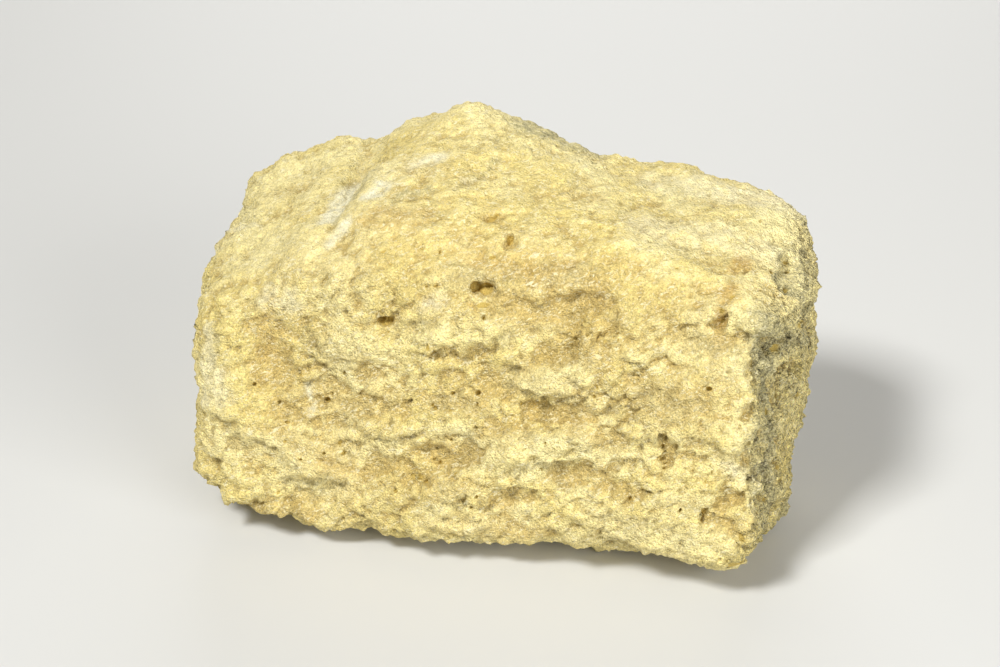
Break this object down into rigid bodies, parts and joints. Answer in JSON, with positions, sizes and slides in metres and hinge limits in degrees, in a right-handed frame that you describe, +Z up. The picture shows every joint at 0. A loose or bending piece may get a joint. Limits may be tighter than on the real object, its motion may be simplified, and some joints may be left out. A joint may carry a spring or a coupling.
{
  "type": "native sulfur specimen",
  "caption": "One broken block of pale yellow, porous, massive native sulfur with ledged faces and a low peaked top, resting on a flat patch.",
  "frame": {"origin": "middle of the block's length and depth, on the plane that it rests on", "axes": "+X along the block's length, -Y out of its broad front face, +Z up"},
  "size_m": [0.0724, 0.04, 0.042],
  "materials": {
    "sulfur_ore": "dull, grainy, porous"
  },
  "bodies": {
    "root": {"sulfur_block": "sulfur_ore"}
  },
  "joints": []
}
